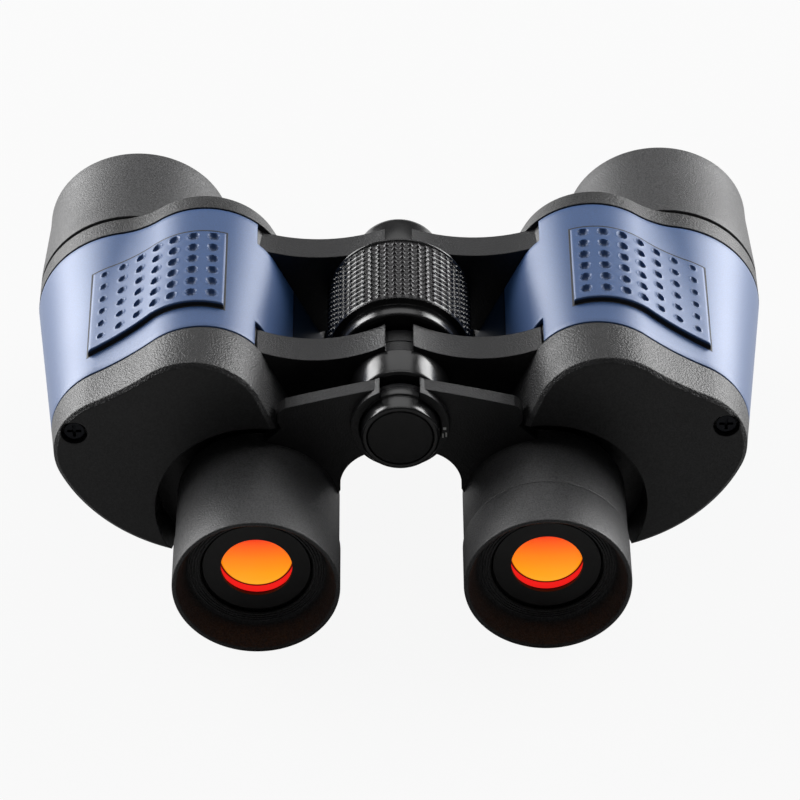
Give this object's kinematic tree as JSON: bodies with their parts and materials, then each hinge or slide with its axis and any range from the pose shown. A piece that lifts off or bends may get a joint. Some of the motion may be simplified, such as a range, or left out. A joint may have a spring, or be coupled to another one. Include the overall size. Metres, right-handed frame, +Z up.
{
  "type": "astronomy binoculars",
  "caption": "Porro-prism astronomy binoculars with a central hinge, knurled focus wheel, bridge, turning dioptre ring and painted armour with dimpled grips.",
  "frame": {"origin": "under the middle of the binoculars, on the surface that they stand on; the hinge axis is 46.9 mm above it", "axes": "+X to the user's right, +Y forwards from the eyepieces to the objectives, +Z up"},
  "size_m": [0.1876, 0.1306, 0.0703],
  "materials": {
    "moulded_black": "spark-grained satin",
    "painted_blue": "satin metallic paint",
    "gloss_black": "gloss",
    "black_metal": "black anodised",
    "blackened_steel": "blackened",
    "spring_steel": "bright",
    "bright_metal": "turned",
    "objective_glass": "coated and polished",
    "eyepiece_glass": "coated and polished",
    "prism_glass": "polished"
  },
  "bodies": {
    "left_half": {"left_prism_housing": "moulded_black", "left_armour_shell": "painted_blue", "left_grip_panel": "painted_blue", "left_rear_cover": "moulded_black", "left_cover_screw": "blackened_steel", "left_front_cover": "moulded_black", "left_objective_barrel": "moulded_black", "left_objective_lens": "objective_glass", "left_objective_retaining_ring": "black_metal", "left_prism_plate": "bright_metal", "left_first_prism": "prism_glass", "left_first_prism_clip": "spring_steel", "left_second_prism": "prism_glass", "left_second_prism_clip": "spring_steel", "left_eyepiece_guide_tube": "bright_metal", "hinge_axle": "spring_steel", "hinge_collar": "gloss_black", "hinge_front_cap": "moulded_black", "wheel_washer": "spring_steel"},
    "right_half": {"right_prism_housing": "moulded_black", "right_armour_shell": "painted_blue", "right_grip_panel": "painted_blue", "right_rear_cover": "moulded_black", "right_cover_screw": "blackened_steel", "right_front_cover": "moulded_black", "right_objective_barrel": "moulded_black", "right_objective_lens": "objective_glass", "right_objective_retaining_ring": "black_metal", "right_prism_plate": "bright_metal", "right_first_prism": "prism_glass", "right_first_prism_clip": "spring_steel", "right_second_prism": "prism_glass", "right_second_prism_clip": "spring_steel", "right_eyepiece_guide_tube": "bright_metal"},
    "focus_wheel": {"focus_wheel": "gloss_black"},
    "left_eyepiece": {"focus_shaft": "spring_steel", "focus_cross_pin": "spring_steel", "left_bridge_arm": "moulded_black", "bridge_end_cap": "gloss_black", "end_cap_disc": "gloss_black", "left_eyepiece_sleeve": "moulded_black", "left_lens_cell": "black_metal", "left_eye_lens": "eyepiece_glass", "left_field_lens": "prism_glass", "left_field_stop": "black_metal"},
    "right_eyepiece": {"right_bridge_arm": "moulded_black", "right_eyepiece_sleeve": "moulded_black"},
    "dioptre_ring": {"dioptre_ring": "moulded_black"},
    "right_ocular": {"right_lens_cell": "black_metal", "right_eye_lens": "eyepiece_glass", "right_field_lens": "prism_glass", "right_field_stop": "black_metal"}
  },
  "joints": [
    {"name": "interpupillary_hinge", "type": "hinge", "parent": "left_half", "child": "right_half", "pos_m": [0, 0, 0.0469], "axis": [0, 1, 0], "range_deg": [-12, 30]},
    {"name": "focus_turn", "type": "hinge", "parent": "left_half", "child": "focus_wheel", "pos_m": [0, 0.0053, 0.0469], "axis": [0, 1, 0], "range_deg": [0, 330]},
    {"name": "left_focus_slide", "type": "slide", "parent": "left_half", "child": "left_eyepiece", "axis": [0, -1, 0], "range_m": [0, 0.0055]},
    {"name": "right_focus_slide", "type": "slide", "parent": "right_half", "child": "right_eyepiece", "axis": [0, -1, 0], "range_m": [0, 0.0055]},
    {"name": "dioptre_turn", "type": "hinge", "parent": "right_eyepiece", "child": "dioptre_ring", "pos_m": [0.036, -0.0577, 0.0208], "axis": [0, 1, 0], "range_deg": [-60, 60]},
    {"name": "dioptre_slide", "type": "slide", "parent": "right_eyepiece", "child": "right_ocular", "axis": [0, 1, 0], "range_m": [-0.001, 0.001]}
  ],
  "couplings": [
    {"joint": "focus_turn", "follows": "left_focus_slide", "rad_per_m": 1047.2},
    {"joint": "right_focus_slide", "follows": "left_focus_slide", "ratio": 1},
    {"joint": "dioptre_turn", "follows": "dioptre_slide", "rad_per_m": 1047.2}
  ]
}
